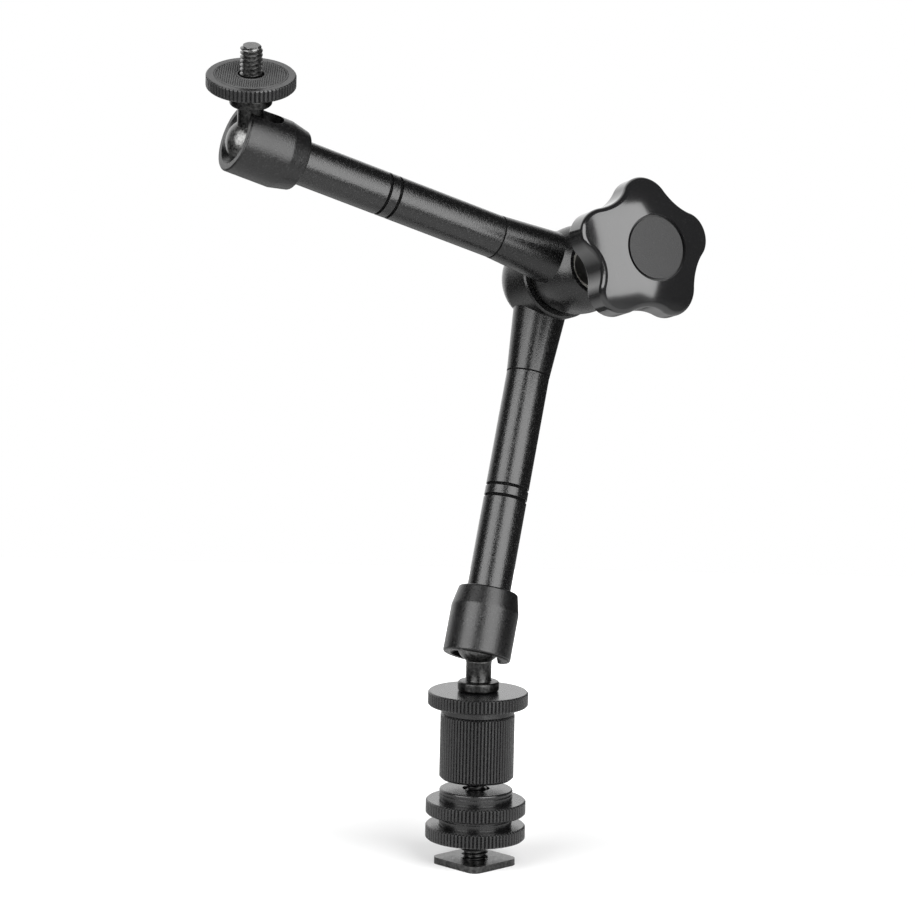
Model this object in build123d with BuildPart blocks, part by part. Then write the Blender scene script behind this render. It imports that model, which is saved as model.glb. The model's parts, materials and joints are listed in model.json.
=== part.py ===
# Articulating friction arm with a shoe foot, two ball sockets and a central locking knob.
# Millimetres. Origin at the centre of the foot's underside, +Z up along the foot's post.
from build123d import *
import os
from math import asin, atan2, cos, degrees, radians, sin, sqrt

# Pose of the arm
foot_turn = 45.0
lower_lean = 22.6
lower_heading = 65.7
elbow_twist = 25.8
elbow_bend = 87.7
stud_lean = 20.0
stud_heading = -86.5

# Arm lengths, from a ball's centre to the elbow's axis, and the step between the two arms
arm_length = 112.0
arm_step = 20.4

# Shoe foot
foot_side = 18.6
foot_thick = 2.0
foot_corner_r = 2.8
shoe_gap = 6.0
post_r = 4.0
post_high = 22.4
post_tip_r = 3.175
post_tip_high = 14.5
post_chamfer = 0.5

# Knurled nuts and sleeve
nut_r = 14.8
nut_rim = 4.2
nut_boss_r = 10.85
nut_boss = 3.3
nut_teeth = 80
knurl_deep = 0.45
knurl_crest = 0.45
rim_chamfer = 0.4
ring_groove = 0.5
ring_groove_deep = 0.4
ring_groove_down = 1.0
boss_round = 0.5
sleeve_r = 11.0
sleeve_gap = 3.1
sleeve_high = 19.9
sleeve_teeth = 66
sleeve_chamfer = 0.7
lock_boss = 2.2

# Ball studs
ball_r = 7.0
neck_r = 3.75
neck_long = 12.0
flange_r = 6.1
flange_thick = 3.1
flange_chamfer = 0.5
flange_foot = 0.9
shank_r = 2.6
thread_r = 3.175
thread_free = 8.7
thread_chamfer = 0.6

# Camera disc and its rubber pad
disc_r = 12.75
disc_thick = 3.7
disc_boss = 2.1
disc_boss_r = 5.5
disc_teeth = 64
pad_r = 10.5
pad_thick = 1.0
pad_proud = 0.2
pad_hole_r = 3.8

# Socket caps and ball seats
cap_r = 10.05
cap_mouth = 4.9
cap_back = 15.2
cap_back_r = 8.8
cap_taper = 5.8
cap_shoulder_round = 2.5
cap_edge_round = 0.6
cap_bore_r = 7.4
lip_depth = 1.7
mouth_r = 7.9
slot_wide = 8.3
slot_centre = 1.8
seat_long = 5.0
seat_cup_start = 4.8

# Tubes and the push rods inside them
tube_r = 6.45
seam_from_elbow = 30.0
collar_long = 4.8
spigot_r = 4.8
spigot_long = 9.0
groove_from_elbow = (65.4, 68.8)
groove_wide = 0.9
groove_deep = 0.4
rod_r = 2.5

# Elbow knuckles
cone_end_r = 6.5
cone_root_r = 8.75
knuckle_r = 13.2
hub_bore_r = 6.2
bore_back = 8.5
seam_edge = 0.5
neck_seam_step = 2.2
mouth_from_arm = 9.6
mouth_bore_r = 8.0
mouth_bore_deep = 3.2
washer_thick = 0.6
washer_r = 10.4

# Locking screw: bolt with a conical head, sliding wedge bush, spring and thrust washer
bolt_r = 3.0
wedge_r = 6.0
wedge_reach = 3.43
bolt_head_long = 5.0
bolt_long = 36.0
thrust_r = 7.7
thrust_thick = 1.0
spring_wire_r = 0.3
spring_turns = 9

# Knob
knob_back = 30.4
knob_thick = 12.3
knob_r = 21.4
valley_r = 16.7
lobe_r = 7.2
lobes = 5
lobe_turn = -7.0
crown_r = 40.0
knob_edge = 0.9
crown_edge = 2.0
hub_r = 9.0
hub_long = 5.3
insert_r = 6.3
insert_in = 6.0
cap_hole_r = 9.75
cap_hole_deep = 2.0
knob_cap_r = 8.9
knob_cap_thick = 1.7
cap_foot_r = 9.7
cap_foot_thick = 0.8

# Clearances
run_clear = 0.05
rod_clear = 0.1
ball_clear = 0.12
seat_clear = 0.2
wedge_clear = 0.1
face_clear = 0.05

os.makedirs("parts", exist_ok=True)


# Placing
def lean_direction(lean, heading):
    lean, heading = radians(lean), radians(heading)
    return Vector(sin(lean) * cos(heading), sin(lean) * sin(heading), cos(lean))


def across(direction, along):
    """The part of a direction that is square to another one."""
    return (direction - along * direction.dot(along)).normalized()


def side_of(frame):
    """The plane through a frame's own z axis: sketch x is the radius, sketch y runs along z."""
    return Plane(frame.origin, x_dir=frame.x_dir, z_dir=-frame.y_dir)


def moved(frame, along):
    return Plane(frame.origin + frame.z_dir * along, x_dir=frame.x_dir, z_dir=frame.z_dir)


def turn(frame, outline, mode=Mode.ADD):
    """Turns a closed outline of (radius, along) points about the frame's z axis."""
    with BuildSketch(side_of(frame)) as profile:
        with BuildLine():
            Polyline(*outline, close=True)
        make_face()
    revolve(profile.sketch, axis=Axis(frame.origin, frame.z_dir), mode=mode)


def ring(inner, outer, low, high):
    return [(inner, low), (outer, low), (outer, high), (inner, high)]


def knurled_round(radius, teeth):
    """Points of a straight-knurled round: a flat crest and a V root for each tooth."""
    pitch = radians(360 / teeth)
    crest = pitch * knurl_crest / 2
    points = []
    for tooth in range(teeth):
        middle = tooth * pitch
        points.append((radius * cos(middle - crest), radius * sin(middle - crest)))
        points.append((radius * cos(middle + crest), radius * sin(middle + crest)))
        root = middle + pitch / 2
        points.append(((radius - knurl_deep) * cos(root), (radius - knurl_deep) * sin(root)))
    return points


def knurled_rim(frame, radius, teeth, low, high, chamfer_size):
    """A straight-knurled band from low to high along the frame, its two edges chamfered."""
    with BuildSketch(moved(frame, low)) as profile:
        with BuildLine():
            Polyline(*knurled_round(radius, teeth), close=True)
        make_face()
    extrude(profile.sketch, amount=high - low)
    cut_in = radius - chamfer_size
    outline = [(0, low), (cut_in, low), (radius, low + chamfer_size), (radius, high - chamfer_size),
               (cut_in, high), (0, high)]
    turn(frame, outline, Mode.INTERSECT)


up = Vector(0, 0, 1)
foot_frame = Plane((0, 0, 0), x_dir=(1, 0, 0), z_dir=up)

# Heights of the stack on the foot's post
lower_nut_z = foot_thick + shoe_gap
upper_nut_z = lower_nut_z + nut_rim + nut_boss
sleeve_z = upper_nut_z + nut_rim + nut_boss + sleeve_gap
lock_disc_z = sleeve_z + sleeve_high
flange_z = lock_disc_z + lock_boss + nut_rim
lower_ball = Vector(0, 0, flange_z + flange_thick + neck_long)

# Arm directions, each from its ball towards the elbow
lower_up = lean_direction(lower_lean, lower_heading)
towards_front = across(Vector(0, -1, 0), lower_up)
elbow_axis = towards_front.rotate(Axis((0, 0, 0), lower_up), elbow_twist)
upper_out = lower_up.rotate(Axis((0, 0, 0), elbow_axis), elbow_bend)
upper_stud = lean_direction(stud_lean, stud_heading)
elbow = lower_ball + lower_up * arm_length
upper_elbow = elbow + elbow_axis * arm_step
upper_ball = upper_elbow + upper_out * arm_length

# A stud's frame points out of its ball along the stud. A socket's frame points from the ball's
# centre to the elbow, with x towards the slot. A knuckle's frame lies on the elbow's axis, with
# x along its arm.
stud_frames = {"lower": Plane(lower_ball, x_dir=(1, 0, 0), z_dir=-up),
               "upper": Plane(upper_ball, x_dir=across(Vector(1, 0, 0), upper_stud), z_dir=upper_stud)}
socket_frames = {"lower": Plane(lower_ball, x_dir=across(-up, lower_up), z_dir=lower_up),
                 "upper": Plane(upper_ball, x_dir=across(upper_stud, upper_out), z_dir=-upper_out)}
rear_frame = Plane(elbow, x_dir=-lower_up, z_dir=elbow_axis)
front_frame = Plane(upper_elbow, x_dir=upper_out, z_dir=elbow_axis)

# Foot plate: the square plate that slides into an accessory shoe, riveted on the post
with BuildPart() as foot_plate:
    with BuildSketch(Plane.XY.rotated((0, 0, foot_turn))):
        RectangleRounded(foot_side, foot_side, foot_corner_r)
        Circle(post_r, mode=Mode.SUBTRACT)
    extrude(amount=foot_thick)
foot_plate.part.label = "foot_plate"
export_step(foot_plate.part, "parts/foot_plate.step")

# Post: a thick lower thread for the two nuts and a thin tip that screws into the sleeve
post_top = post_high + post_tip_high
with BuildPart() as foot_post:
    turn(foot_frame, [(0, 0), (post_r, 0), (post_r, post_high - post_chamfer),
                      (post_r - post_chamfer, post_high), (post_tip_r, post_high),
                      (post_tip_r, post_top - post_chamfer), (post_tip_r - post_chamfer, post_top),
                      (0, post_top)])
foot_post.part.label = "foot_post"
export_step(foot_post.part, "parts/foot_post.step")


def grooved_boss(frame, low, high):
    """A nut's round boss with a groove at its foot, another below its top and a rounded edge."""
    groove_r = nut_boss_r - ring_groove_deep
    upper_groove = high - ring_groove_down - ring_groove
    with BuildSketch(side_of(frame)) as profile:
        with BuildLine():
            edge = Polyline((0, low), (groove_r, low), (groove_r, low + ring_groove),
                            (nut_boss_r, low + ring_groove), (nut_boss_r, upper_groove),
                            (groove_r, upper_groove), (groove_r, upper_groove + ring_groove),
                            (nut_boss_r, upper_groove + ring_groove), (nut_boss_r, high - boss_round))
            CenterArc((nut_boss_r - boss_round, high - boss_round), boss_round, 0, 90)
            Polyline((nut_boss_r - boss_round, high), (0, high), edge @ 0)
        make_face()
    revolve(profile.sketch, axis=Axis(frame.origin, frame.z_dir))


# Two equal shoe nuts locked against each other: the lower clamps the shoe, the upper jams it
for name, base in (("lower_shoe_nut", lower_nut_z), ("upper_shoe_nut", upper_nut_z)):
    nut_frame = moved(foot_frame, base)
    with BuildPart() as shoe_nut:
        knurled_rim(nut_frame, nut_r, nut_teeth, 0, nut_rim, rim_chamfer)
        grooved_boss(nut_frame, nut_rim, nut_rim + nut_boss)
        turn(nut_frame, ring(0, post_r + run_clear, 0, nut_rim + nut_boss), Mode.SUBTRACT)
    shoe_nut.part.label = name
    export_step(shoe_nut.part, f"parts/{name}.step")

# Knurled sleeve: the long nut that joins the post's tip to the lower ball stud
sleeve_frame = moved(foot_frame, sleeve_z)
with BuildPart() as knurled_sleeve:
    knurled_rim(sleeve_frame, sleeve_r, sleeve_teeth, 0, sleeve_high, sleeve_chamfer)
    turn(sleeve_frame, ring(0, thread_r + run_clear, 0, sleeve_high), Mode.SUBTRACT)
knurled_sleeve.part.label = "knurled_sleeve"
export_step(knurled_sleeve.part, "parts/knurled_sleeve.step")

# Lock disc: jams the lower stud in the sleeve, its boss down
lock_frame = moved(foot_frame, lock_disc_z)
with BuildPart() as stud_lock_disc:
    knurled_rim(lock_frame, nut_r, nut_teeth, lock_boss, lock_boss + nut_rim, rim_chamfer)
    turn(lock_frame, ring(0, nut_boss_r, 0, lock_boss))
    turn(lock_frame, ring(0, thread_r + run_clear, 0, lock_boss + nut_rim), Mode.SUBTRACT)
stud_lock_disc.part.label = "stud_lock_disc"
export_step(stud_lock_disc.part, "parts/stud_lock_disc.step")

# Along a stud from the ball's centre
disc_face = neck_long + flange_thick
disc_low = disc_face + disc_boss
shank_end = disc_low + disc_thick
thread_end = shank_end + thread_free
neck_start = sqrt(ball_r**2 - neck_r**2)

for side, frame in stud_frames.items():
    # Ball stud: ball, neck, flange and screw thread turned from one bar
    with BuildPart() as ball_stud:
        with BuildSketch(side_of(frame)) as profile:
            with BuildLine():
                angle = degrees(atan2(neck_start, neck_r))
                CenterArc((0, 0), ball_r, -90, 90 + angle)
                Polyline((neck_r, neck_start), (neck_r, neck_long), (flange_r - flange_chamfer, neck_long),
                         (flange_r, neck_long + flange_chamfer), (flange_r, disc_face - flange_foot),
                         (flange_r - flange_foot, disc_face), (shank_r, disc_face), (shank_r, shank_end),
                         (thread_r, shank_end), (thread_r, thread_end - thread_chamfer),
                         (thread_r - thread_chamfer, thread_end), (0, thread_end), (0, -ball_r))
            make_face()
        revolve(axis=Axis(frame.origin, frame.z_dir))
    ball_stud.part.label = f"{side}_ball_stud"
    export_step(ball_stud.part, f"parts/{side}_ball_stud.step")

# Camera disc: knurled nut on the upper stud that tightens against the camera's base, its boss on
# the stud's flange
camera_frame = stud_frames["upper"]
pad_floor = shank_end - (pad_thick - pad_proud)
with BuildPart() as camera_disc:
    knurled_rim(camera_frame, disc_r, disc_teeth, disc_low, shank_end, rim_chamfer)
    turn(camera_frame, ring(0, disc_boss_r, disc_face, disc_low))
    turn(camera_frame, ring(0, pad_r + face_clear, pad_floor, shank_end), Mode.SUBTRACT)
    turn(camera_frame, ring(0, thread_r + run_clear, disc_face, shank_end), Mode.SUBTRACT)
camera_disc.part.label = "camera_disc"
export_step(camera_disc.part, "parts/camera_disc.step")

with BuildPart() as camera_pad:
    turn(camera_frame, ring(pad_hole_r, pad_r, pad_floor, pad_floor + pad_thick))
camera_pad.part.label = "camera_pad"
export_step(camera_pad.part, "parts/camera_pad.step")

# Along an arm from the ball's centre, towards the elbow
collar_start = cap_back - collar_long
collar_r = cap_bore_r - run_clear
seat_back = seat_cup_start + seat_long
tube_end = arm_length - seam_from_elbow
socket_r = ball_r + ball_clear
lip_at = cap_mouth - lip_depth
lip_angle = degrees(asin(lip_at / socket_r))
cup_angle = degrees(asin(seat_cup_start / socket_r))
rod_bore_r = rod_r + rod_clear
rod_tip_centre = arm_length - wedge_reach - (rod_r + wedge_clear) * sqrt(2)
tube_outline = [(rod_bore_r, collar_start), (collar_r, collar_start), (collar_r, cap_back - face_clear),
                (tube_r, cap_back - face_clear)]
for groove in sorted(arm_length - distance for distance in groove_from_elbow):
    low, high, floor = groove - groove_wide / 2, groove + groove_wide / 2, tube_r - groove_deep
    tube_outline += [(tube_r, low), (floor, low), (floor, high), (tube_r, high)]
tube_outline += [(tube_r, tube_end), (spigot_r, tube_end), (spigot_r, tube_end + spigot_long),
                 (rod_bore_r, tube_end + spigot_long)]

for side, frame in socket_frames.items():
    arm_axis = Axis(frame.origin, frame.z_dir)
    slot_plane = Plane(frame.origin, x_dir=frame.z_dir, z_dir=frame.x_dir)
    # Socket cap: holds the ball behind its lip; the slot lets the stud swing square to the arm
    with BuildPart() as socket_cap:
        turn(frame, [(0, -cap_mouth), (cap_r, -cap_mouth), (cap_r, cap_back - cap_taper),
                     (cap_back_r, cap_back), (0, cap_back)])
        rounds = socket_cap.edges().filter_by(GeomType.CIRCLE).sort_by(arm_axis)
        fillet(rounds[1], cap_shoulder_round)
        rounds = socket_cap.edges().filter_by(GeomType.CIRCLE).sort_by(arm_axis)
        fillet([rounds[0], rounds[-1]], cap_edge_round)
        with BuildSketch(side_of(frame)) as profile:
            with BuildLine():
                Polyline((0, -cap_mouth), (mouth_r, -cap_mouth),
                         (socket_r * cos(radians(lip_angle)), -lip_at))
                CenterArc((0, 0), socket_r, -lip_angle, lip_angle)
                Polyline((socket_r, 0), (cap_bore_r, 0), (cap_bore_r, cap_back), (0, cap_back),
                         (0, -cap_mouth))
            make_face()
        revolve(axis=arm_axis, mode=Mode.SUBTRACT)
        with BuildSketch(slot_plane):
            with Locations((slot_centre / 2 - cap_mouth, 0)):
                Rectangle(slot_centre + cap_mouth * 2, slot_wide)
            with Locations((slot_centre, 0)):
                Circle(slot_wide / 2)
        extrude(amount=cap_r + cap_mouth, mode=Mode.SUBTRACT)
    socket_cap.part.label = f"{side}_socket_cap"
    export_step(socket_cap.part, f"parts/{side}_socket_cap.step")

    # Ball seat: the cup that the push rod presses against the back of the ball
    seat_r = cap_bore_r - seat_clear
    with BuildPart() as ball_seat:
        with BuildSketch(side_of(frame)):
            with BuildLine():
                CenterArc((0, 0), socket_r, cup_angle, 90 - cup_angle)
                Polyline((socket_r * cos(radians(cup_angle)), seat_cup_start), (seat_r, seat_cup_start),
                         (seat_r, seat_back), (0, seat_back), (0, socket_r))
            make_face()
        revolve(axis=arm_axis)
    ball_seat.part.label = f"{side}_ball_seat"
    export_step(ball_seat.part, f"parts/{side}_ball_seat.step")

    # Tube: turned bar with a threaded collar for the cap, two ring grooves and a spigot
    with BuildPart() as arm_tube:
        turn(frame, tube_outline)
    arm_tube.part.label = f"{side}_tube"
    export_step(arm_tube.part, f"parts/{side}_tube.step")

    # Push rod: runs through the tube from the ball seat to the wedge in the elbow
    with BuildPart() as push_rod:
        with BuildSketch(side_of(frame)):
            with BuildLine():
                Polyline((0, rod_tip_centre + rod_r), (0, seat_back + face_clear),
                         (rod_r, seat_back + face_clear), (rod_r, rod_tip_centre))
                CenterArc((0, rod_tip_centre), rod_r, 0, 90)
            make_face()
        revolve(axis=arm_axis)
    push_rod.part.label = f"{side}_push_rod"
    export_step(push_rod.part, f"parts/{side}_push_rod.step")

# Elbow knuckles: each is one turned body with the cone that its tube screws into
seam = (arm_step - washer_thick) / 2
neck_seam_r = knuckle_r - neck_seam_step
barrel_r = (neck_seam_step**2 + seam**2) / (2 * neck_seam_step)
barrel_angle = degrees(asin(seam / barrel_r))
mouth_angle = degrees(asin(mouth_from_arm / knuckle_r))


def cone(frame):
    """The tapered root of an arm, turned about the frame's x axis."""
    along_arm = Plane(frame.origin, x_dir=frame.z_dir, z_dir=frame.x_dir)
    turn(along_arm, [(0, 0), (cone_root_r, 0), (cone_end_r, seam_from_elbow), (0, seam_from_elbow)])


def cut_arm_bores(frame):
    along_arm = Plane(frame.origin, x_dir=frame.z_dir, z_dir=frame.x_dir)
    spigot_floor = seam_from_elbow - spigot_long - face_clear
    turn(along_arm, ring(0, rod_bore_r, 0, seam_from_elbow), Mode.SUBTRACT)
    turn(along_arm, ring(0, spigot_r + run_clear, spigot_floor, seam_from_elbow), Mode.SUBTRACT)


rear_axis = Axis(rear_frame.origin, rear_frame.z_dir)
with BuildPart() as rear_knuckle:
    with BuildSketch(side_of(rear_frame)):
        with BuildLine():
            CenterArc((0, 0), knuckle_r, -90, 90)
            Polyline((knuckle_r, 0), (knuckle_r, seam - seam_edge), (knuckle_r - seam_edge, seam),
                     (0, seam), (0, -knuckle_r))
        make_face()
    revolve(axis=rear_axis)
    cone(rear_frame)
    turn(rear_frame, ring(0, hub_bore_r, -bore_back, seam), Mode.SUBTRACT)
    cut_arm_bores(rear_frame)
rear_knuckle.part.label = "rear_knuckle"
export_step(rear_knuckle.part, "parts/rear_knuckle.step")

front_axis = Axis(front_frame.origin, front_frame.z_dir)
with BuildPart() as front_knuckle:
    with BuildSketch(side_of(front_frame)):
        with BuildLine():
            CenterArc((knuckle_r - barrel_r, 0), barrel_r, -barrel_angle, barrel_angle)
            CenterArc((0, 0), knuckle_r, 0, mouth_angle)
            Polyline((knuckle_r * cos(radians(mouth_angle)), mouth_from_arm), (0, mouth_from_arm),
                     (0, -seam), (neck_seam_r, -seam))
        make_face()
    revolve(axis=front_axis)
    cone(front_frame)
    turn(front_frame, ring(0, hub_bore_r, -seam, mouth_from_arm), Mode.SUBTRACT)
    mouth_floor = mouth_from_arm - mouth_bore_deep
    turn(front_frame, ring(0, mouth_bore_r, mouth_floor, mouth_from_arm), Mode.SUBTRACT)
    cut_arm_bores(front_frame)
front_knuckle.part.label = "front_knuckle"
export_step(front_knuckle.part, "parts/front_knuckle.step")

with BuildPart() as friction_washer:
    turn(rear_frame, ring(hub_bore_r + seat_clear, washer_r, seam, seam + washer_thick))
friction_washer.part.label = "friction_washer"
export_step(friction_washer.part, "parts/friction_washer.step")

# Locking bolt: its conical head pushes the lower rod outwards when the knob draws it forward
flank_end = wedge_reach - bolt_r
flank_start = wedge_reach - wedge_r
with BuildPart() as locking_bolt:
    turn(rear_frame, [(0, flank_start - bolt_head_long), (wedge_r, flank_start - bolt_head_long),
                      (wedge_r, flank_start), (bolt_r, flank_end), (bolt_r, arm_step + bolt_long),
                      (0, arm_step + bolt_long)])
locking_bolt.part.label = "locking_bolt"
export_step(locking_bolt.part, "parts/locking_bolt.step")

# Wedge bush: slides on the bolt and pushes the upper rod outwards
thrust_at = mouth_floor + face_clear
bush_bore_r = bolt_r + run_clear
with BuildPart() as wedge_bush:
    turn(front_frame, [(bush_bore_r, bush_bore_r - wedge_reach), (wedge_r, wedge_r - wedge_reach),
                       (wedge_r, thrust_at), (bush_bore_r, thrust_at)])
wedge_bush.part.label = "wedge_bush"
export_step(wedge_bush.part, "parts/wedge_bush.step")

with BuildPart() as thrust_washer:
    turn(front_frame, ring(bush_bore_r, thrust_r, thrust_at, thrust_at + thrust_thick))
thrust_washer.part.label = "thrust_washer"
export_step(thrust_washer.part, "parts/thrust_washer.step")

# Release spring: pushes the two wedges apart so that both rods let go
spring_r = bolt_r + 2 * run_clear + spring_wire_r
spring_low = flank_end + spring_wire_r + face_clear
spring_high = arm_step - flank_end - spring_wire_r - face_clear
with BuildPart() as release_spring:
    with BuildLine() as coil:
        Helix(pitch=(spring_high - spring_low) / spring_turns, height=spring_high - spring_low,
              radius=spring_r, center=rear_frame.origin + elbow_axis * spring_low, direction=elbow_axis)
    with BuildSketch(Plane(coil.line @ 0, z_dir=coil.line % 0)):
        Circle(spring_wire_r)
    sweep(is_frenet=True)
release_spring.part.label = "release_spring"
export_step(release_spring.part, "parts/release_spring.step")

# Knob: five round lobes joined by round valleys that touch them smoothly, under a crowned face
half_pitch = radians(180 / lobes)
lobe_at = knob_r - lobe_r
valley_fillet = (lobe_at**2 + valley_r**2 - 2 * lobe_at * valley_r * cos(half_pitch) - lobe_r**2) / (
    2 * (lobe_r - valley_r + lobe_at * cos(half_pitch)))
valley_at = valley_r + valley_fillet
touch = degrees(atan2(valley_at * sin(half_pitch), valley_at * cos(half_pitch) - lobe_at))
valley_half = touch - degrees(half_pitch)
knob_front = knob_back + knob_thick
crown_centre = knob_front - sqrt(crown_r**2 - cap_hole_r**2)
crown_top = crown_centre + crown_r
cap_floor = knob_front - cap_hole_deep
insert_start = thrust_at + thrust_thick + face_clear
insert_end = knob_back + insert_in

with BuildPart() as knob:
    with BuildSketch(moved(front_frame, knob_back).rotated((0, 0, lobe_turn))) as outline:
        with BuildLine():
            for lobe in range(lobes):
                turned = 360 / lobes * lobe
                lobe_centre = (lobe_at * cos(radians(turned)), lobe_at * sin(radians(turned)))
                between = turned + 180 / lobes
                valley_centre = (valley_at * cos(radians(between)), valley_at * sin(radians(between)))
                CenterArc(lobe_centre, lobe_r, turned - touch, 2 * touch)
                CenterArc(valley_centre, valley_fillet, between + 180 - valley_half, 2 * valley_half)
        make_face()
    extrude(amount=crown_top - knob_back)
    with BuildSketch(side_of(front_frame)):
        with BuildLine():
            CenterArc((0, crown_centre), crown_r, 0, 90)
            Polyline((0, crown_top), (0, crown_centre), (crown_r, crown_centre))
        make_face()
    revolve(axis=front_axis, mode=Mode.INTERSECT)
    fillet(knob.faces().filter_by(GeomType.SPHERE).edges(), crown_edge)
    fillet(knob.faces().filter_by(GeomType.PLANE).edges(), knob_edge)
    turn(front_frame, ring(0, hub_r, knob_back - hub_long, knob_back + knob_edge))
    turn(front_frame, ring(0, insert_r, knob_back - hub_long, insert_end), Mode.SUBTRACT)
    turn(front_frame, ring(0, cap_hole_r, cap_floor, crown_top), Mode.SUBTRACT)
knob.part.label = "knob"
export_step(knob.part, "parts/knob.step")

# Threaded insert moulded into the knob; its nose presses the thrust washer
with BuildPart() as knob_insert:
    turn(front_frame, ring(bush_bore_r, insert_r, insert_start, insert_end))
knob_insert.part.label = "knob_insert"
export_step(knob_insert.part, "parts/knob_insert.step")

with BuildPart() as knob_cap:
    turn(front_frame, [(0, cap_floor), (cap_foot_r, cap_floor), (cap_foot_r, cap_floor + cap_foot_thick),
                       (knob_cap_r, cap_floor + cap_foot_thick), (knob_cap_r, cap_floor + knob_cap_thick),
                       (0, cap_floor + knob_cap_thick)])
knob_cap.part.label = "knob_cap"
export_step(knob_cap.part, "parts/knob_cap.step")
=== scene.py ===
"""Looks of the articulating friction arm: finishes for every node, real threads and a gridded pad."""
import json
from math import atan, cos, degrees, pi, radians, sin, sqrt

import bpy
from mathutils import Matrix, Vector


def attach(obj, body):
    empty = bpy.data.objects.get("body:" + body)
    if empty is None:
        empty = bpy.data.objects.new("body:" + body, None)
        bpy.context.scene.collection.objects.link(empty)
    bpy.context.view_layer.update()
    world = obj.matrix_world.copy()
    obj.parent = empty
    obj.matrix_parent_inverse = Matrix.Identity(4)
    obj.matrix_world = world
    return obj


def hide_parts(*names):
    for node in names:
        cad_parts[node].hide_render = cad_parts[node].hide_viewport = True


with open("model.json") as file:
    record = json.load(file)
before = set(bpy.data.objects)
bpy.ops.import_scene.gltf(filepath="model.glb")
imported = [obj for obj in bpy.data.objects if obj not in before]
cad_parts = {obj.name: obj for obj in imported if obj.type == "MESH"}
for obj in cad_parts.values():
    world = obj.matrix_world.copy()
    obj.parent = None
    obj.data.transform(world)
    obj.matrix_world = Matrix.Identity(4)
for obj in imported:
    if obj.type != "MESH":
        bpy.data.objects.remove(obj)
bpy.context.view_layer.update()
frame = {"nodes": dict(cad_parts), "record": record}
nodes = frame["nodes"]
joints = {joint["name"]: joint for joint in frame["record"]["behaviour"]["joints"]}

mm = 0.001

# Camera, fitted to the photograph: its focal length in pixels of the 915 pixel frame, its distance
# and the point of the object's middle plane that it looks at
photo_px = 915
focal_px = 3628.9
sensor_mm = 36.0
camera_distance = 1.0612
camera_down = radians(8.349)
camera_roll = radians(-1.252)
camera_target = Vector((-0.007613, 0.0, 0.12185))

# Sizes of the detailed pieces, as in the part's own drawing
ball_r = 7.0 * mm
neck_r = 3.75 * mm
neck_long = 12.0 * mm
flange_r = 6.1 * mm
flange_thick = 3.1 * mm
flange_edge = 0.6 * mm
flange_foot = 0.9 * mm
disc_boss = 2.1 * mm
disc_thick = 3.7 * mm
shank_r = 2.6 * mm
thread_free = 8.7 * mm
camera_thread_r = 3.175 * mm
camera_thread_pitch = 1.27 * mm
post_r = 4.0 * mm
post_high = 22.4 * mm
post_thread_pitch = 1.25 * mm
post_tip_high = 14.5 * mm
pad_hole_r = 3.8 * mm
pad_r = 10.5 * mm
pad_thick = 1.0 * mm
pad_proud = 0.2 * mm
seam_from_elbow = 30.0 * mm
groove_floor_r = 6.1 * mm

# Fillets at the two ends of a stud's neck, as steps outward and along
ball_fillet = ((0.12 * mm, 0.25 * mm), (0.0, 0.6 * mm))
flange_fillet = ((0.0, -0.5 * mm), (0.15 * mm, -0.12 * mm), (0.5 * mm, 0.0))

# Threads: depth as a share of the pitch, the least radius as a share of the crest's, how deep the
# cones at the low and high end cut into the crest, and the plain core that closes the ends
thread_depth_share = 0.61
thread_least_share = 0.2
stud_chamfers = (0.7 * mm, 0.75 * mm)
post_chamfers = (0.2 * mm, 0.8 * mm)
tip_chamfers = (0.1 * mm, 0.7 * mm)
stud_thread_overlap = 0.8 * mm
tip_thread_overlap = 0.2 * mm
core_deep = 0.8 * mm
core_overlap = 1.0 * mm
core_sunk = 0.01 * mm
post_foot = 0.4 * mm

# The pad's face: a plain rim along both edges and a grid of tapered studs between them
pad_rim = 0.5 * mm
pad_rim_low = 0.05 * mm
pad_edge = 0.2 * mm
pad_slope = 0.1 * mm
grid_deep = 0.3 * mm
grid_spacing = 0.62 * mm
grid_base = 0.27 * mm
grid_tip = 0.14 * mm

# Steps round a turn of each detailed piece
stud_steps = 96
screw_core_steps = 48
post_core_steps = 64
pad_steps = 128
thread_steps = 72

crease_angle = radians(35)

# Painted shade in the arms' finish, on the seam and in the ring grooves: the seam's half width, and the ways
# over which each band of painted shade fades
seam_half = 0.19 * mm
seam_faded = 1.5 * seam_half
groove_fade = 0.1 * mm
past_seam_fade = 1.0 * mm

up = Vector((0, 0, 1))
lower_ball = Vector(joints["lower_ball_tilt"]["pos_m"])
upper_ball = Vector(joints["upper_ball_tilt"]["pos_m"])
elbow = Vector(joints["elbow_turn"]["pos_m"])
upper_elbow = Vector(joints["knob_turn"]["pos_m"])
lower_line = (elbow, (lower_ball - elbow).normalized())
upper_line = (upper_elbow, (upper_ball - upper_elbow).normalized())
upper_stud = Vector(joints["camera_disc_turn"]["axis"]).normalized()


def frame_at(origin, along):
    """A matrix whose z axis runs along a direction, with x as near as it can be to the world's x."""
    side = Vector((1, 0, 0))
    z = along.normalized()
    x = (side - z * side.dot(z)).normalized()
    y = z.cross(x)
    return Matrix.Translation(origin) @ Matrix((x, y, z)).transposed().to_4x4()


stud_frames = {"lower": frame_at(lower_ball, -up), "upper": frame_at(upper_ball, upper_stud)}


# Meshes
def make_piece(name, points, faces, body, replaced):
    """A smooth-shaded mesh piece with sharp edges past the crease angle, on a body of the frame."""
    mesh = bpy.data.meshes.new(name)
    mesh.from_pydata([tuple(point) for point in points], [], faces)
    mesh.validate()
    mesh.shade_smooth()
    mesh.set_sharp_from_angle(angle=crease_angle)
    piece = bpy.data.objects.new(name, mesh)
    bpy.context.collection.objects.link(piece)
    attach(piece, body)
    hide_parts(*replaced)


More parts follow.
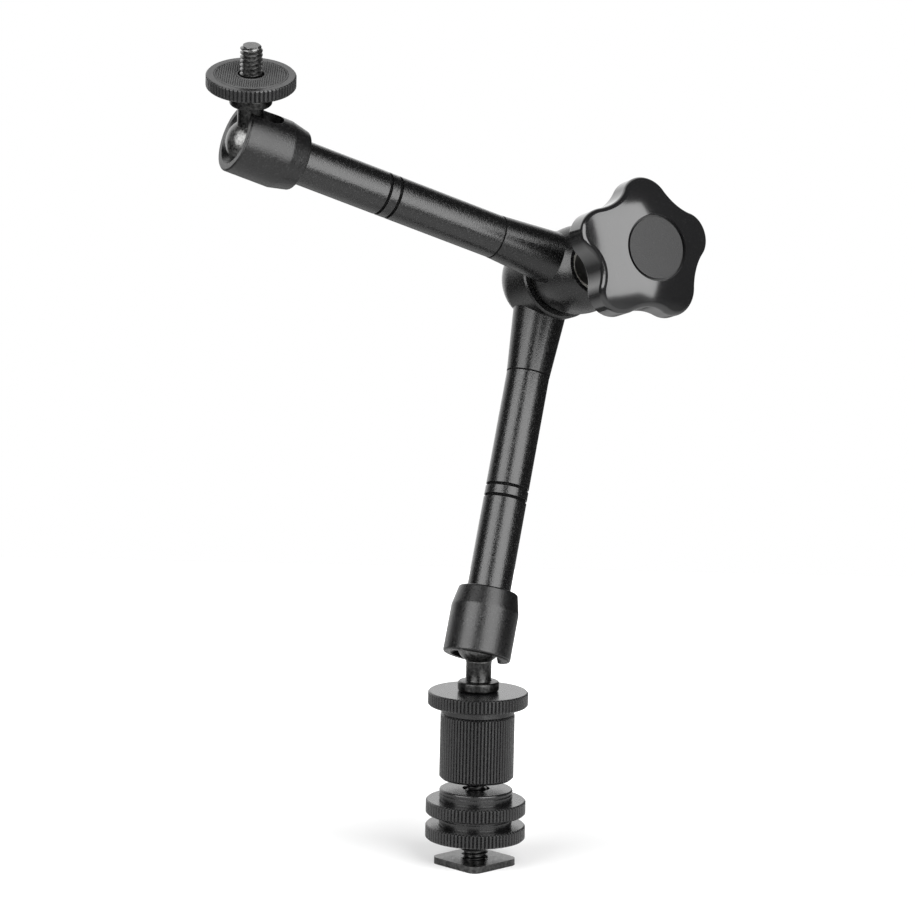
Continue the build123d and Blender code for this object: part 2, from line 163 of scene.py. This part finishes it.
def lathe(outline, place, steps):
    """Points and faces of an outline of (radius, along) turned about z, moved to a frame.
    A radius of zero is one point on the axis."""
    points, rings = [], []
    for radius, along in outline:
        if radius == 0:
            rings.append([len(points)] * steps)
            points.append(place @ Vector((0, 0, along)))
            continue
        rings.append(list(range(len(points), len(points) + steps)))
        for step in range(steps):
            angle = 2 * pi * step / steps
            points.append(place @ Vector((radius * cos(angle), radius * sin(angle), along)))
    faces = []
    for low, high in zip(rings, rings[1:]):
        for step in range(steps):
            after = (step + 1) % steps
            corners = []
            for corner in (low[step], low[after], high[after], high[step]):
                if corner not in corners:
                    corners.append(corner)
            faces.append(corners)
    return points, faces


def arc(centre, radius, start, end, count):
    """Points of an arc in (radius, along), angles in degrees from the radial direction."""
    turns = [radians(start + (end - start) * i / count) for i in range(count + 1)]
    return [(centre[0] + radius * cos(turn), centre[1] + radius * sin(turn)) for turn in turns]


def thread(place, crest_r, pitch, start, end, chamfers):
    """Points and faces of a right-handed screw thread from start to end along the frame, with a
    cone at each end. The two chamfers are how deep the cones cut into the crest."""
    steps = thread_steps
    depth = thread_depth_share * pitch
    least_r = thread_least_share * crest_r
    low_chamfer, high_chamfer = chamfers
    # A standard thread has a crest of an eighth and a root of a quarter of its pitch
    crest, root = pitch / 8, pitch / 4
    flank = (pitch - crest - root) / 2
    # The outline over one pitch, as (along, share of the depth)
    across = [(0.0, 0.0), (crest, 0.0), (crest + flank / 2, 0.5), (crest + flank, 1.0),
              (crest + flank + root, 1.0), (pitch - flank / 2, 0.5)]
    # The helix starts two turns early and ends a turn late, and what lies past an end is held to it
    first = int((start - 2 * pitch) / pitch * steps)
    last = int((end + pitch) / pitch * steps)
    width = len(across)
    points = []
    for step in range(first, last + 1):
        angle = 2 * pi * step / steps
        for offset, sunk in across:
            along = pitch * step / steps + offset
            radius = crest_r - depth * sunk
            low_cone = crest_r - low_chamfer + (along - start)
            high_cone = crest_r - high_chamfer + (end - along)
            radius = max(min(radius, low_cone, high_cone), least_r)
            along = min(max(along, start), end)
            points.append(place @ Vector((radius * cos(angle), radius * sin(angle), along)))
    faces = []
    for row in range(last - first):
        for column in range(width):
            here, there = row * width + column, (row + 1) * width + column
            if column + 1 < width:
                faces.append((here, there, there + 1, here + 1))
            elif row + 1 + steps <= last - first:
                up_here, up_there = (row + steps) * width, (row + 1 + steps) * width
                faces.append((here, there, up_there, up_here))
    return points, faces


def joined(*parts):
    """The points and faces of several parts as those of one."""
    points, faces = [], []
    for more_points, more_faces in parts:
        start = len(points)
        points += more_points
        faces += [tuple(start + corner for corner in face) for face in more_faces]
    return points, faces


# Ball studs: ball, neck, grooved flange, shank and a real thread
neck_start = sqrt(ball_r**2 - neck_r**2)
disc_face = neck_long + flange_thick
shank_end = disc_face + disc_boss + disc_thick
thread_end = shank_end + thread_free


def ball_stud_outline():
    """The turned outline from the ball's pole to the shank's end, without the thread. The ball's arc
    stops two degrees short of the pole and one degree short of the neck."""
    neck_angle = 90 - degrees(atan(neck_r / neck_start))
    outline = [(0, -ball_r)] + arc((0, 0), ball_r, -90 + 2, neck_angle - 1, 48)
    outline += [(neck_r + out, neck_start + along) for out, along in ball_fillet]
    outline += [(neck_r + out, neck_long + along) for out, along in flange_fillet]
    outline += arc((flange_r - flange_edge, neck_long + flange_edge), flange_edge, -90, 0, 6)
    outline += arc((flange_r - flange_foot, disc_face - flange_foot), flange_foot, 0, 90, 8)
    outline += [(shank_r, disc_face), (shank_r, shank_end)]
    return outline


screw_core_r = camera_thread_r - core_deep
screw_core_end = thread_end - core_sunk
screw_core = [(0, screw_core_end), (screw_core_r, screw_core_end), (screw_core_r, shank_end - core_overlap)]
for side, place in stud_frames.items():
    body = f"{side}_stud"
    turned = lathe(ball_stud_outline(), place, stud_steps)
    screw = thread(place, camera_thread_r, camera_thread_pitch, shank_end - stud_thread_overlap, thread_end,
                   stud_chamfers)
    points, faces = joined(turned, screw, lathe(screw_core, place, screw_core_steps))
    make_piece(f"{side}_turned_stud", points, faces, body, [f"{side}_ball_stud"])

# Post: a coarse thread for the nuts and a fine one for the sleeve
post_top = post_high + post_tip_high
post_core_r = post_r - core_deep
origin = Matrix.Identity(4)
post_thread = thread(origin, post_r, post_thread_pitch, post_foot, post_high, post_chamfers)
tip_thread = thread(origin, camera_thread_r, camera_thread_pitch, post_high - tip_thread_overlap, post_top,
                    tip_chamfers)
post_core = [(0, 0), (post_r, 0), (post_r, post_foot), (post_core_r, post_foot), (post_core_r, post_high),
             (screw_core_r, post_high), (screw_core_r, post_top), (0, post_top)]
points, faces = joined(post_thread, tip_thread, lathe(post_core, origin, post_core_steps))
make_piece("threaded_post", points, faces, "foot", ["foot_post"])


def pad_mesh(place, floor, top):
    """A rubber ring with a fine grid of tapered studs moulded in its face."""
    rim_top, valley = top - pad_rim_low, top - grid_deep
    inner, outer = pad_hole_r + pad_rim, pad_r - pad_rim
    outline = [(pad_hole_r, floor), (pad_r, floor), (pad_r, rim_top - pad_edge), (pad_r - pad_edge, rim_top)]
    outline += [(outer, rim_top), (outer - pad_slope, valley), (inner, valley), (inner - pad_slope, rim_top)]
    outline += [(pad_hole_r, rim_top), (pad_hole_r, floor)]
    parts = [lathe(outline, place, pad_steps)]
    count = int(pad_r / grid_spacing) + 1
    corners = ((-1, -1), (1, -1), (1, 1), (-1, 1))
    sides = [(0, 1, 5, 4), (1, 2, 6, 5), (2, 3, 7, 6), (3, 0, 4, 7), (4, 5, 6, 7)]
    for column in range(-count, count + 1):
        for row in range(-count, count + 1):
            x, y = column * grid_spacing, row * grid_spacing
            if not inner + grid_base < sqrt(x * x + y * y) < outer - grid_base:
                continue
            low = [place @ Vector((x + grid_base * a, y + grid_base * b, valley)) for a, b in corners]
            high = [place @ Vector((x + grid_tip * a, y + grid_tip * b, top)) for a, b in corners]
            parts.append((low + high, sides))
    return joined(*parts)


pad_top = shank_end + pad_proud
points, faces = pad_mesh(stud_frames["upper"], pad_top - pad_thick, pad_top)
make_piece("gridded_pad", points, faces, "camera_disc", ["camera_pad"])


# Materials
black = (0.004, 0.004, 0.0042)
disc_black = (0.008, 0.008, 0.0082)
usual_noise = (0.3, 0.7)
grain_swing = 0.07
patch_swing = 0.025
# Specular level of the painted shade in the arms' ring grooves and seam
painted_shade_specular = 0.1


class NodeTree:
    """A node tree with short calls for the few nodes that the finishes and the studio need."""

    def __init__(self, tree):
        self.tree = tree

    def add(self, kind, inputs=None, **settings):
        """A new node. What an input is given is a socket to link or a value to set."""
        node = self.tree.nodes.new(kind)
        for name, value in settings.items():
            setattr(node, name, value)
        for name, value in (inputs or {}).items():
            if isinstance(value, bpy.types.NodeSocket):
                self.tree.links.new(value, node.inputs[name])
            else:
                node.inputs[name].default_value = value
        return node

    def math(self, operation, *values):
        return self.add("ShaderNodeMath", dict(enumerate(values)), operation=operation).outputs[0]

    def vector(self, operation, *values):
        """Vector mathematics: a vector, or a number where that is what the operation gives."""
        node = self.add("ShaderNodeVectorMath", dict(enumerate(values)), operation=operation)
        gives_number = operation in ("LENGTH", "DISTANCE", "DOT_PRODUCT")
        return node.outputs["Value" if gives_number else "Vector"]

    def spread(self, value, low, high, start=0.0, end=1.0, **settings):
        """A value from start to end mapped to low to high, held past both."""
        inputs = {"Value": value, "From Min": start, "From Max": end, "To Min": low, "To Max": high}
        return self.add("ShaderNodeMapRange", inputs, **settings).outputs["Result"]

    def mix(self, share, first, second):
        """Two numbers mixed by the share of the second."""
        return self.add("ShaderNodeMix", {0: share, 2: first, 3: second}).outputs[0]

    def blend(self, share, first, second):
        """Two colours mixed by the share of the second. Each is a socket, or red, green and blue."""
        inputs = {0: share}
        for place, colour in ((6, first), (7, second)):
            inputs[place] = colour if isinstance(colour, bpy.types.NodeSocket) else (*colour, 1)
        return self.add("ShaderNodeMix", inputs, data_type="RGBA").outputs[2]


class Shader(NodeTree):
    """A material with one Principled surface. Its marks are placed by the object's coordinates,
    which at rest are those of the frame."""

    def __init__(self, name, colour, roughness, metallic=0.0, specular=0.5):
        self.material = bpy.data.materials.new(name)
        self.material.use_nodes = True
        super().__init__(self.material.node_tree)
        self.surface = self.tree.nodes["Principled BSDF"]
        self.surface.inputs["Base Color"].default_value = (*colour, 1)
        self.surface.inputs["Roughness"].default_value = roughness
        self.surface.inputs["Metallic"].default_value = metallic
        self.surface.inputs["Specular IOR Level"].default_value = specular
        self.where = self.add("ShaderNodeTexCoord").outputs["Object"]

    def set(self, name, value):
        self.tree.links.new(value, self.surface.inputs[name])

    def noise(self, size, detail):
        """Noise whose lumps are about a size across, in metres."""
        inputs = {"Vector": self.where, "Scale": 1 / size, "Detail": detail}
        return self.add("ShaderNodeTexNoise", inputs).outputs["Fac"]

    def vary(self, noise, low, high):
        """A value that goes from low to high over the range that noise mostly keeps to."""
        return self.spread(noise, low, high, *usual_noise)

    def above(self, noise, start, end):
        """0 where noise is under start, 1 where it is over end."""
        return self.spread(noise, 0, 1, start, end)

    def bump(self, height, distance, strength=1.0, normal=None):
        inputs = {"Height": height, "Distance": distance, "Strength": strength}
        if normal:
            inputs["Normal"] = normal
        return self.add("ShaderNodeBump", inputs).outputs["Normal"]

    def rounded_edges(self, radius):
        """Normals that round the sharp edges off, so that they catch a thin line of light."""
        return self.add("ShaderNodeBevel", {"Radius": radius}, samples=6).outputs["Normal"]

    def axis_distance(self, point, along):
        """How far from a line through a point a place lies."""
        away = self.vector("SUBTRACT", self.where, point)
        return self.vector("LENGTH", self.vector("CROSS_PRODUCT", away, along))

    def along_line(self, point, along):
        """How far along a line through a point a place lies."""
        return self.vector("DOT_PRODUCT", self.vector("SUBTRACT", self.where, point), along)

    def distance(self, point):
        return self.vector("DISTANCE", self.where, point)


def lathe_marks(shader, point, along, spacing, depth, normal=None):
    """Fine rings about an axis, as a turning tool leaves them."""
    waves = shader.math("MULTIPLY", shader.axis_distance(point, along), 2 * pi / spacing)
    return shader.bump(shader.math("SINE", waves), depth, normal=normal)


def arm_painted_shade(shader, arm_line):
    """Painted shade: 1 in the ring grooves of a tube and on the seam between tube and knuckle, where no light
    gets in.
    """
    seam_offset = shader.math("SUBTRACT", shader.along_line(*arm_line), seam_from_elbow)
    seam = shader.spread(shader.math("ABSOLUTE", seam_offset), 1, 0, seam_half, seam_faded)
    from_axis = shader.axis_distance(*arm_line)
    sunk = shader.spread(from_axis, 1, 0, groove_floor_r, groove_floor_r + groove_fade)
    past_seam = shader.above(seam_offset, 0, past_seam_fade)
    return shader.math("MAXIMUM", seam, shader.math("MULTIPLY", sunk, past_seam))


def anodised(name, arm_line, roughness, specular):
    """Bead-blasted black anodising: a fine grain that sparkles in the highlights, with painted shade in the
    ring grooves and on the seam.
    """
    shader = Shader(name, black, roughness, specular=specular)
    grain = shader.noise(size=0.42 * mm, detail=2)
    patches = shader.noise(size=9 * mm, detail=2)
    rough = shader.math("ADD", shader.vary(grain, -grain_swing, grain_swing),
                        shader.vary(patches, roughness - patch_swing, roughness + patch_swing))
    # Painted shade in the ring grooves and on the seam: the roughness is raised and the specular level
    # lowered there, so they read dark
    painted_shade = arm_painted_shade(shader, arm_line)
    low, speck = (0.0015, 0.0015, 0.0016), (0.026, 0.026, 0.0265)
    edges = shader.rounded_edges(0.15 * mm)
    shader.set("Roughness", shader.math("MAXIMUM", rough, painted_shade))
    shader.set("Specular IOR Level", shader.spread(painted_shade, specular, painted_shade_specular))
    shader.set("Base Color", shader.blend(shader.above(grain, start=0.56, end=0.78), low, speck))
    shader.set("Normal", shader.bump(grain, 0.06 * mm, strength=0.8, normal=edges))
    return shader.material


def turned_black(name, point, along, colour=black, roughness=0.24):
    """Black finish on turned and knurled metal: lathe rings on the faces and specks on the teeth."""
    shader = Shader(name, colour, roughness, specular=0.65)
    grain = shader.noise(size=0.3 * mm, detail=3)
    speck = (0.03, 0.03, 0.031)
    edges = shader.rounded_edges(0.12 * mm)
    rings = lathe_marks(shader, point, along, spacing=0.16 * mm, depth=0.0012 * mm, normal=edges)
    shader.set("Roughness", shader.vary(grain, roughness - 0.06, roughness + 0.1))
    shader.set("Normal", shader.bump(grain, 0.012 * mm, strength=0.4, normal=rings))
    shader.set("Base Color", shader.blend(shader.above(grain, start=0.55, end=0.8), colour, speck))
    return shader.material


def stud_steel(side, ball, along):
    """Blackened steel, rubbed brighter on the thread, with the ball worn to bare metal."""
    shader = Shader(f"{side}_stud_finish", (0.1, 0.1, 0.1), 0.3, metallic=1.0)
    scuffs = shader.noise(size=0.8 * mm, detail=4)
    scuffed = shader.above(scuffs, start=0.35, end=0.75)
    from_ball = shader.distance(ball)
    on_ball = shader.spread(from_ball, 1, 0, 1.01 * ball_r, 1.04 * ball_r)
    on_screw = shader.above(from_ball, shank_end, shank_end + 0.5 * mm)
    rubbed = shader.above(scuffs, start=0.35, end=0.65)
    worn = shader.blend(rubbed, (0.08, 0.08, 0.08), (0.19, 0.19, 0.186))
    dark = shader.blend(scuffed, (0.022, 0.022, 0.022), (0.07, 0.07, 0.069))
    screw = shader.blend(scuffed, (0.12, 0.12, 0.12), (0.26, 0.26, 0.255))
    shader.set("Base Color", shader.blend(on_ball, shader.blend(on_screw, dark, screw), worn))
    shader.set("Roughness", shader.vary(scuffs, 0.24, 0.4))
    shader.set("Normal", lathe_marks(shader, ball, along, spacing=0.14 * mm, depth=0.002 * mm))
    return shader.material


def plated_steel():
    """Black plating, rubbed through to a lighter grey in places."""
    shader = Shader("black_plated_steel", (0.03, 0.03, 0.03), 0.28, metallic=1.0)
    scuffs = shader.noise(size=1.2 * mm, detail=4)
    plated, rubbed = (0.05, 0.05, 0.05), (0.13, 0.13, 0.128)
    shader.set("Base Color", shader.blend(shader.above(scuffs, start=0.4, end=0.75), plated, rubbed))
    shader.set("Roughness", shader.vary(scuffs, 0.25, 0.4))
    shader.set("Normal", shader.bump(shader.noise(size=0.4 * mm, detail=3), 0.01 * mm, strength=0.4))
    return shader.material


def moulded(name, roughness, grain_depth, specular):
    """Moulded black plastic with a slow waviness, a fine grain and a few dust specks."""
    plastic, dust = (0.007, 0.007, 0.0073), (0.06, 0.06, 0.06)
    shader = Shader(name, plastic, roughness, specular=specular)
    waves = shader.bump(shader.noise(size=6 * mm, detail=1), 0.02 * mm, strength=0.35)
    grain = shader.noise(size=0.18 * mm, detail=2)
    specks = shader.above(shader.noise(size=0.35 * mm, detail=5), start=0.67, end=0.76)
    shader.set("Normal", shader.bump(grain, grain_depth, strength=0.5, normal=waves))
    shader.set("Base Color", shader.blend(specks, plastic, dust))
    shader.set("Roughness", shader.vary(grain, 0.8 * roughness, 1.3 * roughness))
    return shader.material


def rubber():
    shader = Shader("black_rubber", (0.02, 0.02, 0.0205), 0.55, specular=0.7)
    grain = shader.noise(size=0.12 * mm, detail=3)
    shader.set("Roughness", shader.vary(grain, 0.55, 0.75))
    dark, light = (0.026, 0.026, 0.0265), (0.055, 0.055, 0.055)
    shader.set("Base Color", shader.blend(grain, dark, light))
    shader.set("Normal", shader.bump(grain, 0.02 * mm, strength=0.6))
    return shader.material


def bare_metal(name, colour, roughness):
    """Ground or turned metal with a slight tarnish."""
    shader = Shader(name, colour, roughness, metallic=1.0)
    tarnish = shader.noise(size=2 * mm, detail=3)
    darker = tuple(0.7 * channel for channel in colour)
    shader.set("Base Color", shader.blend(shader.above(tarnish, start=0.4, end=0.7), colour, darker))
    shader.set("Roughness", shader.vary(tarnish, roughness - 0.05, roughness + 0.12))
    shader.set("Normal", shader.bump(shader.noise(size=0.15 * mm, detail=2), 0.004 * mm, strength=0.4))
    return shader.material


def nylon():
    shader = Shader("natural_nylon", (0.5, 0.49, 0.45), 0.5)
    cloud = shader.noise(size=1.5 * mm, detail=3)
    dark, light = (0.45, 0.44, 0.4), (0.58, 0.57, 0.53)
    shader.set("Base Color", shader.blend(cloud, dark, light))
    shader.set("Roughness", shader.vary(cloud, 0.42, 0.58))
    return shader.material


def paint(material, *names):
    """Give nodes of the frame, or pieces made here, one material."""
    for name in names:
        target = nodes.get(name) or bpy.data.objects[name]
        target.data.materials.clear()
        target.data.materials.append(material)


arms = (("lower", "rear_knuckle", lower_line), ("upper", "front_knuckle", upper_line))
for side, knuckle, arm_line in arms:
    paint(anodised(f"anodised_{side}_tube", arm_line, roughness=0.26, specular=0.6), f"{side}_tube")
    paint(anodised(f"anodised_{side}_cap", arm_line, roughness=0.33, specular=0.52), f"{side}_socket_cap")
    paint(anodised(f"anodised_{knuckle}", arm_line, roughness=0.27, specular=0.5), knuckle)
paint(turned_black("turned_upright", (0, 0, 0), up), "lower_shoe_nut", "upper_shoe_nut", "knurled_sleeve",
      "stud_lock_disc")
paint(turned_black("turned_camera_disc", upper_ball, upper_stud, disc_black, roughness=0.32), "camera_disc")
paint(stud_steel("lower", lower_ball, up), "lower_turned_stud")
paint(stud_steel("upper", upper_ball, upper_stud), "upper_turned_stud")
paint(plated_steel(), "foot_plate", "threaded_post")
paint(moulded("knob_moulding", roughness=0.13, grain_depth=0.0006 * mm, specular=0.75), "knob")
paint(moulded("knob_cover", roughness=0.3, grain_depth=0.004 * mm, specular=0.42), "knob_cap")
paint(rubber(), "gridded_pad")
paint(bare_metal("ground_steel", (0.42, 0.42, 0.42), roughness=0.25), "lower_push_rod", "upper_push_rod",
      "locking_bolt")
paint(bare_metal("spring_wire", (0.5, 0.5, 0.49), roughness=0.22), "release_spring")
paint(bare_metal("turned_brass", (0.62, 0.45, 0.2), roughness=0.3), "wedge_bush")
paint(bare_metal("blackened_seat", (0.12, 0.12, 0.118), roughness=0.35), "lower_ball_seat", "upper_ball_seat")
paint(bare_metal("blackened_insert", (0.09, 0.09, 0.09), roughness=0.35), "knob_insert")
paint(nylon(), "friction_washer", "thrust_washer")

# Studio: a pale floor that keeps the shadow, a white world with a bright sweep behind the object, and
# two tall soft lights. The lift is a glow on the floor that only the camera sees, and it grows between
# two distances from the middle. The sheet's reflection falls off between two others.
white = (1, 1, 1, 1)
floor_half = 0.5
floor_below = 0.02 * mm
floor_colour = (0.7, 0.7, 0.7)
lift_start, lift_end = 0.03, 0.2
lift_near, lift_far = 0.24, 0.9
sheet_near, sheet_far = 0.2, 0.45
sheet_far_share = 0.2
front_glow = 0.06
back_glow = 1.4
fill_glow = 0.3
sweep_direction = (-0.34, 0.94, 0.35)
sweep_start, sweep_full = 0.76, 0.92
lamp_aim = Vector((0, 0, 0.13))
lamp_distance = 1.1
lamp_radiance = 5.3


def floor_material():
    """Matt paper. The camera sees it lifted towards white away from the object's foot, and
    reflections see it darker far out, where a real sheet would end."""
    material = bpy.data.materials.new("white_floor")
    material.use_nodes = True
    material.node_tree.nodes.clear()
    tree = NodeTree(material.node_tree)
    path = tree.add("ShaderNodeLightPath").outputs
    where = tree.add("ShaderNodeTexCoord").outputs["Object"]
    away = tree.vector("LENGTH", where)
    rise = tree.spread(away, lift_near, lift_far, lift_start, lift_end, interpolation_type="SMOOTHSTEP")
    fall = tree.spread(away, 1.0, sheet_far_share, sheet_near, sheet_far)
    share = tree.mix(path["Is Glossy Ray"], 1.0, fall)
    paper = tree.add("ShaderNodeVectorMath", {0: floor_colour, "Scale": share}, operation="SCALE")
    diffuse = tree.add("ShaderNodeBsdfDiffuse", {"Color": paper.outputs["Vector"]})
    lift = tree.math("MULTIPLY", path["Is Camera Ray"], rise)
    glow = tree.add("ShaderNodeEmission", {"Color": white, "Strength": lift})
    both = tree.add("ShaderNodeAddShader", {0: diffuse.outputs[0], 1: glow.outputs[0]})
    tree.add("ShaderNodeOutputMaterial", {"Surface": both.outputs[0]})
    return material


floor_mesh = bpy.data.meshes.new("floor")
floor_corners = [(floor_half * a, floor_half * b, 0) for a, b in ((-1, -1), (1, -1), (1, 1), (-1, 1))]
floor_mesh.from_pydata(floor_corners, [], [(0, 1, 2, 3)])
floor = bpy.data.objects.new("floor", floor_mesh)
floor.location.z = -floor_below
bpy.context.collection.objects.link(floor)
floor.data.materials.append(floor_material())


def studio_world():
    """White to the camera. Reflections see the white backdrop that sweeps up behind the object and a
    dark studio in front and above it, and the even fill light is the same from every side."""
    world = bpy.data.worlds.new("studio")
    bpy.context.scene.world = world
    world.use_nodes = True
    world.node_tree.nodes.clear()
    tree = NodeTree(world.node_tree)
    where = tree.add("ShaderNodeTexCoord").outputs["Generated"]
    behind = tree.vector("DOT_PRODUCT", where, sweep_direction)
    seen = tree.spread(behind, front_glow, back_glow, sweep_start, sweep_full)
    path = tree.add("ShaderNodeLightPath").outputs
    indirect = tree.mix(path["Is Glossy Ray"], fill_glow, seen)
    direct = tree.math("MAXIMUM", path["Is Camera Ray"], path["Is Transmission Ray"])
    strength = tree.mix(direct, indirect, 1.0)
    background = tree.add("ShaderNodeBackground", {"Color": white, "Strength": strength})
    tree.add("ShaderNodeOutputWorld", {"Surface": background.outputs[0]})


studio_world()


def soft_light(name, azimuth, elevation, wide, high):
    """A softbox aimed at the object's middle. Azimuth is from the camera's side, to the right."""
    a, e = radians(azimuth), radians(elevation)
    out = Vector((sin(a) * cos(e), -cos(a) * cos(e), sin(e)))
    lamp = bpy.data.lights.new(name, "AREA")
    lamp.shape = "RECTANGLE"
    lamp.size = wide
    lamp.size_y = high
    lamp.energy = lamp_radiance * pi * wide * high
    holder = bpy.data.objects.new(name, lamp)
    holder.location = lamp_aim + out * lamp_distance
    holder.rotation_mode = "QUATERNION"
    holder.rotation_quaternion = out.to_track_quat("Z", "Y")
    bpy.context.collection.objects.link(holder)


soft_light("right_softbox", azimuth=37.5, elevation=19, wide=1.03, high=1.7)
soft_light("left_softbox", azimuth=-46, elevation=22, wide=0.92, high=1.0)

# Camera
forward = Vector((0, cos(camera_down), -sin(camera_down)))
roll = Matrix.Rotation(camera_roll, 3, forward)
right = roll @ Vector((1, 0, 0))
upright = roll @ Vector((0, sin(camera_down), cos(camera_down)))
lens = bpy.data.cameras.new("camera")
lens.sensor_width = sensor_mm
lens.lens = focal_px * sensor_mm / photo_px
lens.clip_start = 0.05
lens.clip_end = 50
camera = bpy.data.objects.new("camera", lens)
camera.matrix_world = (Matrix.Translation(camera_target - forward * camera_distance)
                       @ Matrix((right, upright, -forward)).transposed().to_4x4())
bpy.context.collection.objects.link(camera)
bpy.context.scene.camera = camera
bpy.context.scene.view_settings.view_transform = "Standard"
